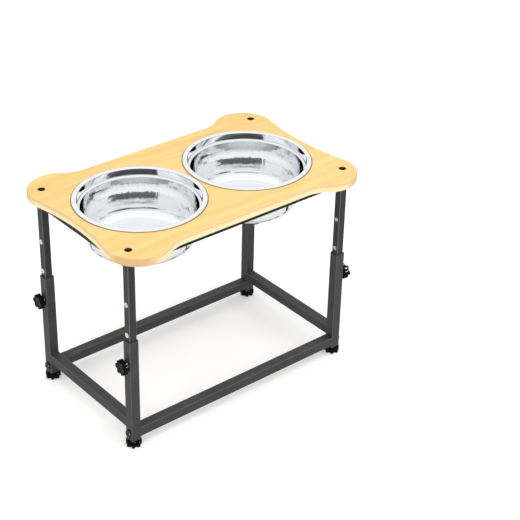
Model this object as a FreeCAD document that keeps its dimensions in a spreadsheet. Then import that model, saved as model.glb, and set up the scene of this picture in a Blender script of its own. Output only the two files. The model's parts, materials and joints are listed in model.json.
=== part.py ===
import FreeCAD, Part
import math
import os
import re

import Sketcher
from FreeCAD import Placement, Rotation, Vector

# Elevated dog feeder: two steel bowls in a bone-shaped board, on a frame whose legs telescope.
# Millimetres, +Z up, origin on the floor under the middle. +X runs along the long side, -Y is the front.

SIZES = {
    "leg_span": (500, "distance between the leg axes along the long side"),
    "leg_depth": (276, "distance between the leg axes along the short side"),
    "leg_base": (14, "height of the bottom of the outer legs"),
    "outer_size": (20, "width of the lower frame's square tube"),
    "outer_round": (1.5, "corner radius of that tube"),
    "outer_length": (221.5, "length of an outer leg"),
    "inner_size": (16, "width of the upper frame's square tube"),
    "inner_round": (2, "corner radius of that tube"),
    "inner_base": (170.5, "height of the bottom of the inner legs, raised"),
    "thin_size": (15, "width of the thin long tubes under the board"),
    "thin_round": (1.5, "corner radius of those tubes"),
    "tube_wall": (1.2, "wall thickness of every tube"),
    "long_rail_axis": (29.5, "height of the long rails' axes"),
    "side_rail_axis": (50.5, "height of the side rails' axes"),
    "lock_height": (184.5, "height of the locking knobs' axes"),
    "step_pitch": (64, "distance between two height steps"),
    "board_top": (422.5, "height of the board's upper face"),
    "board_thick": (17, "thickness of the board"),
    "board_round": (3, "rounding of the board's edges"),
    "lobe_x": (220, "centre of a corner lobe, along the long side"),
    "lobe_y": (124, "centre of a corner lobe, along the short side"),
    "lobe_round": (60.5, "radius of a corner lobe"),
    "waist_y": (159.5, "half depth of the board between its lobes"),
    "waist_round": (68, "radius of the inward curve beside a lobe"),
    "end_round": (507, "radius of the shallow curve along a short end"),
    "bowl_x": (127, "distance of a bowl's axis from the middle"),
    "bowl_hole": (116.8, "radius of the board's hole for a bowl"),
    "rim_radius": (125, "outer radius of a bowl's rim"),
    "rim_height": (2.2, "height of the rim above the board"),
    "band_radius": (115, "inner radius of the upright band under the rim"),
    "band_depth": (13.5, "depth of the band below the board's upper face"),
    "wall_radius": (109.5, "inner radius of the wall under the band"),
    "bowl_depth": (92, "depth of the bowl below the board's upper face"),
    "base_radius": (99, "radius where the wall would meet the base"),
    "base_round": (20, "inner radius of the curve between wall and base"),
    "panel_radius": (66, "radius of the base's raised middle"),
    "panel_rise": (1.6, "height of the raised middle"),
    "bowl_sheet": (0.8, "thickness of the bowl's steel"),
    "tab_thick": (1.5, "thickness of the tabs that carry the thin tubes"),
    "screw_radius": (3, "radius of the M6 screws, bolts and knob studs"),
    "screw_gap": (0.1, "radial gap between a screw and its thread"),
    "free_gap": (0.3, "radial gap round a screw in a plain hole"),
    "screw_head": (6.7, "radius of a board screw's head"),
    "screw_head_thick": (3, "thickness of a board screw's head"),
    "screw_recess": (1, "depth of a board screw's head below the board"),
    "screw_length": (32, "length of a board screw's shank"),
    "bolt_head": (8, "radius of a rail bolt's domed head"),
    "bolt_head_thick": (4.6, "thickness of a rail bolt's domed head"),
    "bolt_length": (35, "length of a rail bolt's shank"),
    "socket_radius": (2.3, "circumradius of the hexagon sockets"),
    "socket_depth": (2, "depth of the hexagon sockets"),
    "plug_length": (18, "length of the threaded plugs in the long rails"),
    "top_plug_length": (20, "length of the threaded plugs in the inner legs"),
    "foot_plug_length": (9, "length of the threaded plugs in the outer legs"),
    "foot_plug_flange": (1.5, "thickness of their flanges under the legs"),
    "cap_plug_length": (7, "length of a guide cap inside its inner leg"),
    "cap_flange": (3, "thickness of a guide cap's guiding flange"),
    "cap_size": (17, "width of a guide cap's guiding flange"),
    "sleeve_radius": (4, "outer radius of a threaded sleeve"),
    "sleeve_flange": (4.8, "radius of a threaded sleeve's flange"),
    "sleeve_flange_thick": (0.5, "thickness of that flange"),
    "press_gap": (0.05, "radial gap round a pressed or turning fit"),
    "star_radius": (15, "outer radius of a star knob or foot"),
    "star_notch": (4.6, "radius of a notch between two lobes of a star"),
    "star_notch_reach": (15.9, "distance of a notch's centre from the axis"),
    "star_lobe": (2, "rounding of a star's lobes"),
    "star_edge": (1.2, "rounding of a star's edges"),
    "knob_lobes": (6, "lobes of a knob"),
    "knob_start": (14.5, "distance of a knob head from the leg's axis"),
    "knob_thick": (11.5, "thickness of a knob head"),
    "knob_hub": (6, "radius of the hub on a knob head"),
    "knob_hub_length": (1, "length of that hub"),
    "stud_tip": (8.9, "distance of a knob stud's tip from the leg's axis, released"),
    "stud_grip": (6, "length of a stud inside its knob head"),
    "foot_lobes": (7, "lobes of a levelling foot"),
    "foot_thick": (12, "height of a levelling foot"),
    "foot_stud": (4, "radius of a levelling foot's M8 stud"),
    "foot_grip": (9, "length of that stud inside its foot"),
    "foot_stud_length": (20, "length of that stud"),
}

CORNERS = {
    "front_left": (-1, -1),
    "rear_left": (-1, 1),
    "front_right": (1, -1),
    "rear_right": (1, 1),
}
SIDES = {"left": -1, "right": 1}
FACES = {"front": -1, "rear": 1}
HEIGHT_STEPS = 3

ALONG_X = Rotation(Vector(0, 1, 0), 90)
ALONG_MINUS_X = Rotation(Vector(0, 1, 0), -90)
ALONG_Y = Rotation(Vector(1, 0, 0), -90)
OUTWARD = {-1: ALONG_MINUS_X, 1: ALONG_X}
INWARD = {-1: ALONG_X, 1: ALONG_MINUS_X}

BOARD_BASE = "(board_top - board_thick)"
INNER_TOP = f"({BOARD_BASE} - tab_thick)"

doc = FreeCAD.newDocument("ElevatedDogFeeder")
sheet = doc.addObject("Spreadsheet::Sheet", "sizes")
for row, (alias, (size, meaning)) in enumerate(SIZES.items(), start=1):
    sheet.set(f"A{row}", meaning)
    sheet.set(f"B{row}", str(size))
    sheet.setAlias(f"B{row}", alias)
doc.recompute()

subparts = []


def cells(formula):
    """Write a formula's size names as references to the sheet."""
    def reference(word):
        return f"sizes.{word.group()}" if word.group() in SIZES else word.group()
    return re.sub(r"[a-z_]+", reference, str(formula))


def number(formula):
    """Work out a formula with the sheet's present values."""
    return float(sheet.evalExpression(cells(formula)))


def bind(thing, **formulas):
    """Bind properties of an object to formulas of the sheet's cells."""
    for name, formula in formulas.items():
        thing.setExpression(name.replace("__", "."), cells(formula))


def place(thing, x=0, y=0, z=0, turn=None):
    """Put a sub-part where it belongs, with its position bound to the sheet."""
    thing.Placement = Placement(Vector(number(x), number(y), number(z)), turn or Rotation())
    bind(thing, Placement__Base__x=x, Placement__Base__y=y, Placement__Base__z=z)
    return thing


def new_body(label):
    body = doc.addObject("PartDesign::Body", "body")
    body.Label = label
    return body


def origin_item(body, role):
    """One of the body's own origin planes or axes."""
    return next(item for item in body.Origin.OriginFeatures if item.Role == role)


def attach(thing, body, role):
    """Lay a sketch or a primitive on one of the body's own origin planes."""
    thing.AttachmentSupport = [(origin_item(body, role), "")]
    thing.MapMode = "FlatFace"
    return thing


def new_sketch(body, role):
    return attach(body.newObject("Sketcher::SketchObject", "sketch"), body, role)


def dimension(sketch, kind, *target, size):
    """Add a dimension to a sketch and bind it to the sheet."""
    index = sketch.addConstraint(Sketcher.Constraint(kind, *target, number(size)))
    sketch.setExpression(f"Constraints[{index}]", cells(size))


def fix_point(sketch, geometry, end, x, y):
    """Hold a sketch point at bound coordinates, or on an axis where a coordinate is nought."""
    for kind, axis, size in (("DistanceX", -2, x), ("DistanceY", -1, y)):
        if abs(number(size)) < 1e-9:
            sketch.addConstraint(Sketcher.Constraint("PointOnObject", geometry, end, axis))
        else:
            dimension(sketch, kind, -1, 1, geometry, end, size=size)


def polygon(sketch, points):
    """Draw a closed polygon through points given as formulas."""
    spots = [Vector(number(x), number(y), 0) for x, y in points]
    lines = []
    for start, end in zip(spots, spots[1:] + spots[:1]):
        lines.append(sketch.addGeometry(Part.LineSegment(start, end), False))
    for line, following in zip(lines, lines[1:] + lines[:1]):
        sketch.addConstraint(Sketcher.Constraint("Coincident", line, 2, following, 1))
    for line, (x, y) in zip(lines, points):
        fix_point(sketch, line, 1, x, y)


def circle(sketch, radius, x=0, y=0):
    centre = Vector(number(x), number(y), 0)
    item = sketch.addGeometry(Part.Circle(centre, Vector(0, 0, 1), number(radius)), False)
    fix_point(sketch, item, 3, x, y)
    dimension(sketch, "Radius", item, size=radius)


def arc_between(centre, radius, start, end):
    """An arc, anticlockwise from one direction to another, in radians."""
    return Part.ArcOfCircle(Part.Circle(centre, Vector(0, 0, 1), radius), start, end)


def rounded_square(sketch, size, rounding):
    """Draw a square with round corners about the sketch's origin."""
    half = number(size) / 2
    radius = number(rounding)
    straight = half - radius
    arcs = []
    lines = []
    for quarter in range(4):
        turn = Rotation(Vector(0, 0, 1), 90 * quarter)
        centre = turn.multVec(Vector(straight, straight, 0))
        start = quarter * math.pi / 2
        arcs.append(sketch.addGeometry(arc_between(centre, radius, start, start + math.pi / 2), False))
        ends = [turn.multVec(Vector(x, half, 0)) for x in (straight, -straight)]
        lines.append(sketch.addGeometry(Part.LineSegment(*ends), False))
    for arc, line, next_arc in zip(arcs, lines, arcs[1:] + arcs[:1]):
        sketch.addConstraint(Sketcher.Constraint("Tangent", arc, 2, line, 1))
        sketch.addConstraint(Sketcher.Constraint("Tangent", line, 2, next_arc, 1))
    for line, kind in zip(lines, ("Horizontal", "Vertical", "Horizontal", "Vertical")):
        sketch.addConstraint(Sketcher.Constraint(kind, line))
    for arc in arcs[1:]:
        sketch.addConstraint(Sketcher.Constraint("Equal", arcs[0], arc))
    dimension(sketch, "Radius", arcs[0], size=rounding)
    corner = f"({size}) / 2 - ({rounding})"
    fix_point(sketch, arcs[0], 3, corner, corner)
    sketch.addConstraint(Sketcher.Constraint("Symmetric", arcs[0], 3, arcs[2], 3, -1, 1))


def pad(body, sketch, length):
    feature = body.newObject("PartDesign::Pad", "pad")
    feature.Profile = sketch
    bind(feature, Length=length)
    return feature


def turned(body, points):
    """Turn a closed outline of radius and height about the body's Z axis."""
    sketch = new_sketch(body, "XZ_Plane")
    polygon(sketch, points)
    feature = body.newObject("PartDesign::Revolution", "turning")
    feature.Profile = sketch
    feature.ReferenceAxis = (sketch, ["V_Axis"])
    feature.Angle = 360
    return feature


def drill(body, role, radius, depth, x=0, y=0, start=0):
    """Drill a round hole square to an origin plane, from a bound start over a bound depth."""
    hole = attach(body.newObject("PartDesign::SubtractiveCylinder", "hole"), body, role)
    bind(hole, Radius=radius, Height=depth)
    bind(hole, AttachmentOffset__Base__x=x, AttachmentOffset__Base__y=y, AttachmentOffset__Base__z=start)
    return hole


def hexagon_socket(body, top):
    """Sink a hexagon socket into the end of a screw head that faces up."""
    socket = attach(body.newObject("PartDesign::SubtractivePrism", "socket"), body, "XY_Plane")
    socket.Polygon = 6
    bind(socket, Circumradius="socket_radius", Height="socket_depth + 1")
    bind(socket, AttachmentOffset__Base__z=f"{top} - socket_depth")


def round_edges(body, feature, radius, wanted):
    """Round the edges of a feature that a test picks out."""
    doc.recompute()
    names = [f"Edge{i}" for i, edge in enumerate(feature.Shape.Edges, start=1) if wanted(edge)]
    if not names:
        raise RuntimeError(f"{body.Label}: no edge to round")
    fillet = body.newObject("PartDesign::Fillet", "rounding")
    fillet.Base = (feature, names)
    bind(fillet, Radius=radius)
    doc.recompute()
    return fillet


def ring_test(radius, height):
    """Pick the circular edges with a given radius at a given height."""
    def wanted(edge):
        curve = edge.Curve
        if not isinstance(curve, Part.Circle):
            return False
        same_radius = abs(curve.Radius - number(radius)) < 0.01
        return same_radius and abs(curve.Center.z - number(height)) < 0.01
    return wanted


def flat_at(height):
    """Pick the edges that lie at one height."""
    def wanted(edge):
        box = edge.BoundBox
        return abs(box.ZMin - number(height)) < 0.01 and abs(box.ZMax - number(height)) < 0.01
    return wanted


def upright(edge):
    """Pick the straight edges that run along Z."""
    return edge.BoundBox.ZLength > 1 and edge.BoundBox.XLength < 0.01 and edge.BoundBox.YLength < 0.01


def register(thing):
    subparts.append(thing)
    return thing


def group(label, members):
    """Join like pieces into one sub-part of separate solids."""
    compound = doc.addObject("Part::Compound", "group")
    compound.Label = label
    compound.Links = members
    return register(compound)


def tube(label, size, rounding, length):
    """A square tube along its own Z axis."""
    body = new_body(label)
    sketch = new_sketch(body, "XY_Plane")
    rounded_square(sketch, size, rounding)
    rounded_square(sketch, f"{size} - 2 * tube_wall", f"{rounding} - tube_wall")
    pad(body, sketch, length)
    return body


def square_plug(label, size, rounding, length, bore):
    """A square plug along its own Z axis, with a threaded bore."""
    body = new_body(label)
    sketch = new_sketch(body, "XY_Plane")
    rounded_square(sketch, size, rounding)
    circle(sketch, bore)
    pad(body, sketch, length)
    return body


def corner_x(sx):
    return f"{sx} * leg_span / 2"


def corner_y(sy):
    return f"{sy} * leg_depth / 2"


def outer_leg(corner):
    sx, sy = CORNERS[corner]
    leg = tube(f"outer_leg_{corner}", "outer_size", "outer_round", "outer_length")
    drill(leg, "YZ_Plane", "screw_radius + free_gap", "outer_size + 2",
          y="long_rail_axis - leg_base", start="-(outer_size / 2 + 1)")
    knob_side = "0" if sx > 0 else "-(outer_size / 2 + 1)"
    drill(leg, "YZ_Plane", "screw_radius + free_gap", "outer_size / 2 + 1",
          y="lock_height - leg_base", start=knob_side)
    register(place(leg, corner_x(sx), corner_y(sy), "leg_base"))


def inner_leg(corner):
    sx, sy = CORNERS[corner]
    leg = tube(f"inner_leg_{corner}", "inner_size", "inner_round", f"{INNER_TOP} - inner_base")
    for step in range(HEIGHT_STEPS):
        drill(leg, "YZ_Plane", "sleeve_radius + press_gap", "inner_size + 2",
              y=f"lock_height + {step} * step_pitch - inner_base", start="-(inner_size / 2 + 1)")
    register(place(leg, corner_x(sx), corner_y(sy), "inner_base"))


def side_rails():
    for side, sx in SIDES.items():
        lower = tube(f"side_rail_{side}", "outer_size", "outer_round", "leg_depth - outer_size")
        register(place(lower, corner_x(sx), "-(leg_depth - outer_size) / 2", "side_rail_axis", ALONG_Y))
        upper = tube(f"top_side_rail_{side}", "inner_size", "inner_round", "leg_depth - inner_size")
        height = f"{INNER_TOP} - inner_size / 2"
        register(place(upper, corner_x(sx), "-(leg_depth - inner_size) / 2", height, ALONG_Y))


def long_rails():
    for face, sy in FACES.items():
        lower = tube(f"long_rail_{face}", "outer_size", "outer_round", "leg_span - outer_size")
        register(place(lower, "-(leg_span - outer_size) / 2", corner_y(sy), "long_rail_axis", ALONG_X))
        upper = tube(f"top_long_rail_{face}", "thin_size", "thin_round", "leg_span - inner_size")
        flush = f"{sy} * (leg_depth + inner_size - thin_size) / 2"
        height = f"{BOARD_BASE} - thin_size / 2"
        register(place(upper, "-(leg_span - inner_size) / 2", flush, height, ALONG_X))


def rail_bolts():
    """Domed bolts: the shank points down its own Z axis, and the head's flat side is at nought."""
    bolts = []
    for sx, sy in CORNERS.values():
        bolt = new_body("rail_bolt")
        blank = turned(bolt, [
            ("0", "-bolt_length"), ("screw_radius", "-bolt_length"), ("screw_radius", "0"),
            ("bolt_head", "0"), ("bolt_head", "bolt_head_thick"), ("0", "bolt_head_thick"),
        ])
        round_edges(bolt, blank, "bolt_head_thick * 0.8", ring_test("bolt_head", "bolt_head_thick"))
        hexagon_socket(bolt, "bolt_head_thick")
        face = f"{sx} * (leg_span + outer_size) / 2"
        bolts.append(place(bolt, face, corner_y(sy), "long_rail_axis", OUTWARD[sx]))
    group("rail_bolts", bolts)


def rail_end_inserts():
    inserts = []
    for sx, sy in CORNERS.values():
        insert = square_plug("rail_end_insert", "outer_size - 2 * tube_wall", "outer_round", "plug_length",
                             "screw_radius + screw_gap")
        face = f"{sx} * (leg_span - outer_size) / 2"
        inserts.append(place(insert, face, corner_y(sy), "long_rail_axis", INWARD[sx]))
    group("rail_end_inserts", inserts)


def flanged_plug(label, size, plug_length, flange_size, flange, bore=None):
    """A square plug that stands on a wider flange, whose upper face is at nought."""
    body = new_body(label)
    bored = [] if bore is None else [bore]
    for width, bottom, height in ((flange_size, f"-({flange})", flange), (size, "0", plug_length)):
        sketch = new_sketch(body, "XY_Plane")
        rounded_square(sketch, width, "outer_round")
        for radius in bored:
            circle(sketch, radius)
        bind(sketch, AttachmentOffset__Base__z=bottom)
        pad(body, sketch, height)
    return body


def leg_plugs():
    """Threaded plugs in the leg ends, and the caps that guide the inner legs."""
    feet = []
    tops = []
    caps = []
    inner_bore = "inner_size - 2 * tube_wall"
    for sx, sy in CORNERS.values():
        x, y = corner_x(sx), corner_y(sy)
        foot = flanged_plug("foot_insert", "outer_size - 2 * tube_wall", "foot_plug_length",
                            "outer_size", "foot_plug_flange", "foot_stud + screw_gap")
        feet.append(place(foot, x, y, "leg_base"))
        top = square_plug("leg_top_insert", inner_bore, "inner_round", "top_plug_length",
                          "screw_radius + screw_gap")
        tops.append(place(top, x, y, f"{INNER_TOP} - top_plug_length"))
        cap = flanged_plug("leg_guide_cap", inner_bore, "cap_plug_length", "cap_size", "cap_flange")
        caps.append(place(cap, x, y, "inner_base"))
    group("foot_inserts", feet)
    group("leg_top_inserts", tops)
    group("leg_guide_caps", caps)


def threaded_sleeves():
    """Sleeves through the inner legs; the flange's seat is at nought and the bore runs right through."""
    sleeves = []
    bore = "screw_radius + screw_gap"
    for sx, sy in CORNERS.values():
        for step in range(HEIGHT_STEPS):
            sleeve = new_body("threaded_sleeve")
            turned(sleeve, [(bore, "-inner_size"), ("sleeve_radius", "-inner_size"), ("sleeve_radius", "0"),
                            ("sleeve_flange", "0"), ("sleeve_flange", "sleeve_flange_thick"),
                            (bore, "sleeve_flange_thick")])
            face = f"{sx} * (leg_span + inner_size) / 2"
            height = f"lock_height + {step} * step_pitch"
            sleeves.append(place(sleeve, face, corner_y(sy), height, OUTWARD[sx]))
    group("threaded_sleeves", sleeves)


def rail_end_tabs():
    tabs = []
    for sx, sy in CORNERS.values():
        tab = square_plug("rail_end_tab", "inner_size", "inner_round", "tab_thick",
                          "screw_radius + free_gap")
        tabs.append(place(tab, corner_x(sx), corner_y(sy), INNER_TOP))
    group("rail_end_tabs", tabs)


def board_quarter(sketch):
    """A quarter of the bone shape: end curve, corner lobe, inward curve and straight waist."""
    lobe_x, lobe_y, lobe = number("lobe_x"), number("lobe_y"), number("lobe_round")
    waist, inward, end = number("waist_y"), number("waist_round"), number("end_round")
    inward_y = waist + inward
    inward_x = lobe_x - math.sqrt((lobe + inward) ** 2 - (inward_y - lobe_y) ** 2)
    end_x = lobe_x + math.sqrt((lobe + end) ** 2 - lobe_y ** 2)
    to_inward = math.atan2(inward_y - lobe_y, inward_x - lobe_x)
    to_end = math.atan2(-lobe_y, end_x - lobe_x)
    origin = Vector(0, 0, 0)
    waist_end = Vector(0, waist, 0)
    shapes = {
        "axis_x": Part.LineSegment(origin, Vector(end_x - end, 0, 0)),
        "end": arc_between(Vector(end_x, 0, 0), end, math.pi + to_end, math.pi),
        "lobe": arc_between(Vector(lobe_x, lobe_y, 0), lobe, to_end, to_inward),
        "inward": arc_between(Vector(inward_x, inward_y, 0), inward, -math.pi / 2, to_inward - math.pi),
        "waist": Part.LineSegment(Vector(inward_x, waist, 0), waist_end),
        "axis_y": Part.LineSegment(waist_end, origin),
    }
    item = {name: sketch.addGeometry(shape, False) for name, shape in shapes.items()}

    def join(kind, first, first_end, second, second_end):
        sketch.addConstraint(Sketcher.Constraint(kind, item[first], first_end, item[second], second_end))

    join("Coincident", "axis_y", 2, "axis_x", 1)
    join("Coincident", "axis_x", 2, "end", 2)
    join("Tangent", "end", 1, "lobe", 1)
    join("Tangent", "lobe", 2, "inward", 2)
    join("Tangent", "inward", 1, "waist", 1)
    join("Coincident", "waist", 2, "axis_y", 1)
    sketch.addConstraint(Sketcher.Constraint("Coincident", item["axis_x"], 1, -1, 1))
    sketch.addConstraint(Sketcher.Constraint("PointOnObject", item["end"], 3, -1))
    sketch.addConstraint(Sketcher.Constraint("Horizontal", item["axis_x"]))
    sketch.addConstraint(Sketcher.Constraint("Horizontal", item["waist"]))
    sketch.addConstraint(Sketcher.Constraint("Vertical", item["axis_y"]))
    fix_point(sketch, item["lobe"], 3, "lobe_x", "lobe_y")
    dimension(sketch, "Radius", item["lobe"], size="lobe_round")
    dimension(sketch, "Radius", item["inward"], size="waist_round")
    dimension(sketch, "Radius", item["end"], size="end_round")
    dimension(sketch, "DistanceY", item["axis_y"], 2, item["axis_y"], 1, size="waist_y")


def mirrored_twice(body, feature):
    """Complete a quarter by mirroring it in both upright origin planes."""
    whole = body.newObject("PartDesign::MultiTransform", "whole")
    whole.Originals = [feature]
    mirrors = []
    for role in ("YZ_Plane", "XZ_Plane"):
        mirror = body.newObject("PartDesign::Mirrored", "mirror")
        mirror.MirrorPlane = (origin_item(body, role), [""])
        mirrors.append(mirror)
    whole.Transformations = mirrors
    body.Tip = whole
    return whole


def top_board():
    board = new_body("top_board")
    sketch = new_sketch(board, "XY_Plane")
    board_quarter(sketch)
    whole = mirrored_twice(board, pad(board, sketch, "board_thick"))
    for height in ("0", "board_thick"):
        whole = round_edges(board, whole, "board_round", flat_at(height))
    for sx in SIDES.values():
        drill(board, "XY_Plane", "bowl_hole", "board_thick + 2", x=f"{sx} * bowl_x", start="-1")
    sunk = "screw_recess + screw_head_thick"
    for sx, sy in CORNERS.values():
        x, y = corner_x(sx), corner_y(sy)
        drill(board, "XY_Plane", "screw_radius + free_gap", "board_thick + 2", x, y, "-1")
        drill(board, "XY_Plane", "screw_head + free_gap", f"{sunk} + 1", x, y, f"board_thick - ({sunk})")
    register(place(board, z=BOARD_BASE))


def board_screws():
    """Flat-headed screws: the shank points down, and the head's underside is at nought."""
    screws = []
    for sx, sy in CORNERS.values():
        screw = new_body("board_screw")
        turned(screw, [
            ("0", "-screw_length"), ("screw_radius", "-screw_length"), ("screw_radius", "0"),
            ("screw_head", "0"), ("screw_head", "screw_head_thick"), ("0", "screw_head_thick"),
        ])
        hexagon_socket(screw, "screw_head_thick")
        height = "board_top - screw_recess - screw_head_thick"
        screws.append(place(screw, corner_x(sx), corner_y(sy), height))
    group("board_screws", screws)


def bowl(side):
    """A pressed bowl about its own Z axis; the board's upper face is at nought."""
    body = new_body(f"bowl_{side}")
    base = "-bowl_depth"
    floor = f"{base} + bowl_sheet"
    rim_under = "rim_height - bowl_sheet"
    rim_inside = "rim_radius - bowl_sheet"
    band_outside = "band_radius + bowl_sheet"
    base_outside = "base_radius + bowl_sheet"
    inside = [
        ("0", f"{floor} + panel_rise"),
        ("panel_radius - bowl_sheet", f"{floor} + panel_rise"),
        ("panel_radius + panel_rise", floor),
        ("base_radius", floor),
        ("wall_radius", "-band_depth"),
        ("band_radius", "-band_depth"),
        ("band_radius", "rim_height"),
        ("rim_radius", "rim_height"),
        ("rim_radius", "0"),
    ]
    outside = [
        (rim_inside, "0"),
        (rim_inside, rim_under),
        (band_outside, rim_under),
        (band_outside, "-band_depth - bowl_sheet"),
        ("wall_radius + bowl_sheet", "-band_depth - bowl_sheet"),
        (base_outside, base),
        ("panel_radius + panel_rise", base),
        ("panel_radius", f"{base} + panel_rise"),
        ("0", f"{base} + panel_rise"),
    ]
    shape = turned(body, inside + outside)
    bends = [
        ("base_radius", floor, "base_round"),
        (base_outside, base, "base_round + bowl_sheet"),
        ("band_radius", "rim_height", "1.5 * bowl_sheet"),
        (band_outside, rim_under, "bowl_sheet / 2"),
        ("rim_radius", "rim_height", "rim_height - bowl_sheet / 2"),
        (rim_inside, rim_under, "rim_height - 1.5 * bowl_sheet"),
    ]
    for radius, height, rounding in bends:
        shape = round_edges(body, shape, rounding, ring_test(radius, height))
    register(place(body, f"{SIDES[side]} * bowl_x", 0, "board_top"))


def star(label, lobes, thick):
    """A disc about the Z axis, notched into lobes, with rounded lobes and edges."""
    body = new_body(label)
    disc = new_sketch(body, "XY_Plane")
    circle(disc, "star_radius")
    pad(body, disc, thick)
    notch = drill(body, "XY_Plane", "star_notch", f"{thick} + 2", x="star_notch_reach", start="-1")
    pattern = body.newObject("PartDesign::PolarPattern", "notches")
    pattern.Originals = [notch]
    pattern.Axis = (origin_item(body, "Z_Axis"), [""])
    pattern.Angle = 360
    bind(pattern, Occurrences=lobes)
    body.Tip = pattern
    shape = round_edges(body, pattern, "star_lobe", upright)
    for height in ("0", thick):
        shape = round_edges(body, shape, "star_edge", flat_at(height))
    return body


def locking_knob(corner):
    """A stud that points inwards and the star head on it, both along the leg's outward direction."""
    sx, sy = CORNERS[corner]
    at = (corner_x(sx), corner_y(sy), "lock_height", OUTWARD[sx])
    stud = new_body(f"knob_stud_{corner}")
    end = "knob_start + stud_grip"
    turned(stud, [("0", "stud_tip"), ("screw_radius", "stud_tip"), ("screw_radius", end), ("0", end)])
    register(place(stud, *at))
    head = star(f"knob_head_{corner}", "knob_lobes", "knob_thick")
    hub = new_sketch(head, "XY_Plane")
    circle(hub, "knob_hub")
    pad(head, hub, "knob_hub_length").Reversed = True
    drill(head, "XY_Plane", "screw_radius + press_gap", "knob_hub_length + stud_grip + press_gap",
          start="-knob_hub_length")
    register(place(head, f"{corner_x(sx)} + {sx} * knob_start", *at[1:]))


def levelling_foot(corner):
    sx, sy = CORNERS[corner]
    x, y = corner_x(sx), corner_y(sy)
    stud = new_body(f"foot_stud_{corner}")
    bottom = "foot_thick - foot_grip"
    top = f"{bottom} + foot_stud_length"
    turned(stud, [("0", bottom), ("foot_stud", bottom), ("foot_stud", top), ("0", top)])
    register(place(stud, x, y))
    foot = star(f"foot_star_{corner}", "foot_lobes", "foot_thick")
    drill(foot, "XY_Plane", "foot_stud + press_gap", "foot_grip + 1", start=f"{bottom} - press_gap")
    register(place(foot, x, y))


def export():
    """Check every object, then write each sub-part to its own file."""
    doc.recompute()
    failed = [thing.Label for thing in doc.Objects if {"Invalid", "Error"} & set(thing.State)]
    if failed:
        raise RuntimeError(f"failed objects: {failed}")
    for thing in subparts:
        if thing.Shape.isNull() or not thing.Shape.isValid():
            raise RuntimeError(f"bad shape: {thing.Label}")
    os.makedirs("parts", exist_ok=True)
    for thing in subparts:
        thing.Shape.exportStep(f"parts/{thing.Label}.step")
        print(f"{thing.Label}: {len(thing.Shape.Solids)} solids, {thing.Shape.Volume / 1000:.1f} cm3")


for name in CORNERS:
    outer_leg(name)
    inner_leg(name)
side_rails()
long_rails()
rail_bolts()
rail_end_inserts()
leg_plugs()
threaded_sleeves()
rail_end_tabs()
top_board()
board_screws()
for name in SIDES:
    bowl(name)
for name in CORNERS:
    locking_knob(name)
    levelling_foot(name)
export()
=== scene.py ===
# %% [markdown]
# # An elevated dog feeder
# A bone-shaped wooden board carries steel bowls above a dark frame of square tube. The frame telescopes: star
# knobs lock the inner legs at three heights, and star feet level it on the floor.
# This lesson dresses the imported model. Every piece is made here as a mesh, in metres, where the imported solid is,
# and then rides on the rigid body that carries it, so that the feeder still moves.

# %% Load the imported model
import json
import math
import bmesh
import bpy
from mathutils import Matrix, Vector

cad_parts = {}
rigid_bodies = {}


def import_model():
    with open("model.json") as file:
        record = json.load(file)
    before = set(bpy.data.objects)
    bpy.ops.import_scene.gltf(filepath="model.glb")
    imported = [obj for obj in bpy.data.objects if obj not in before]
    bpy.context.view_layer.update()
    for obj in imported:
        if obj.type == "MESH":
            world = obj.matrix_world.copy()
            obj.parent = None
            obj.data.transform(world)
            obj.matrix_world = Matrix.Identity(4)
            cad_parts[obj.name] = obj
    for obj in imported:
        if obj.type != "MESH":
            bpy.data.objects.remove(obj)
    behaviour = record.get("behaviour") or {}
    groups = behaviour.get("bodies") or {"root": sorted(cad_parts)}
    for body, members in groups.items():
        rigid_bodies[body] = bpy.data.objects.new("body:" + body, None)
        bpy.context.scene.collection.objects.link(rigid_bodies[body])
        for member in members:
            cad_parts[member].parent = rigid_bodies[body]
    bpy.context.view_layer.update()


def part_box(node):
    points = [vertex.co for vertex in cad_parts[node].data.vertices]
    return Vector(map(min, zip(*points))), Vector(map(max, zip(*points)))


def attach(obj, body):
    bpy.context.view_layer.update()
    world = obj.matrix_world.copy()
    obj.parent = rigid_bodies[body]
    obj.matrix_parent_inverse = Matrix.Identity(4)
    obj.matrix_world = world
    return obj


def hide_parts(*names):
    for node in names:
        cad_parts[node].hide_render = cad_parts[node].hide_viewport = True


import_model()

# %% [markdown]
# ## Where everything stands
# The legs stand at the corners of a rectangle, and most pieces repeat at those corners. Their place is measured
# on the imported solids, so nothing here has to be fitted by eye. Sizes that belong to one piece are named where
# that piece is made.

# %% Measure the layout
MM = 0.001
QUARTER_TURN = math.pi / 2
FULL_TURN = math.tau
CORNERS = {"front_left": (-1, -1), "rear_left": (-1, 1), "front_right": (1, -1), "rear_right": (1, 1)}
SIDES = ("left", "right")
FACES = ("front", "rear")


def middle_of(node):
    low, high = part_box(node)
    return (low + high) / 2


LEG_X = middle_of("outer_leg_front_right").x
LEG_Y = middle_of("outer_leg_rear_right").y
BOARD_BASE, BOARD_TOP = (end.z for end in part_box("top_board"))
KNOB_HEIGHT = middle_of("knob_stud_front_left").z
print(f"legs at {LEG_X / MM:.0f} and {LEG_Y / MM:.0f} mm, board top at {BOARD_TOP / MM:.0f} mm")

# %% [markdown]
# ## Small helpers for node trees
# Shaders and Geometry Nodes are both trees of nodes joined by links. One function adds a node and fills its inputs.
# What comes out of a node is wrapped in a small class that adds a Math node whenever it is added, subtracted,
# multiplied or divided. It also knows its tree, so the helpers that take one need not be told. With that, a tree
# reads like a formula.

# %% Node helpers


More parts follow.
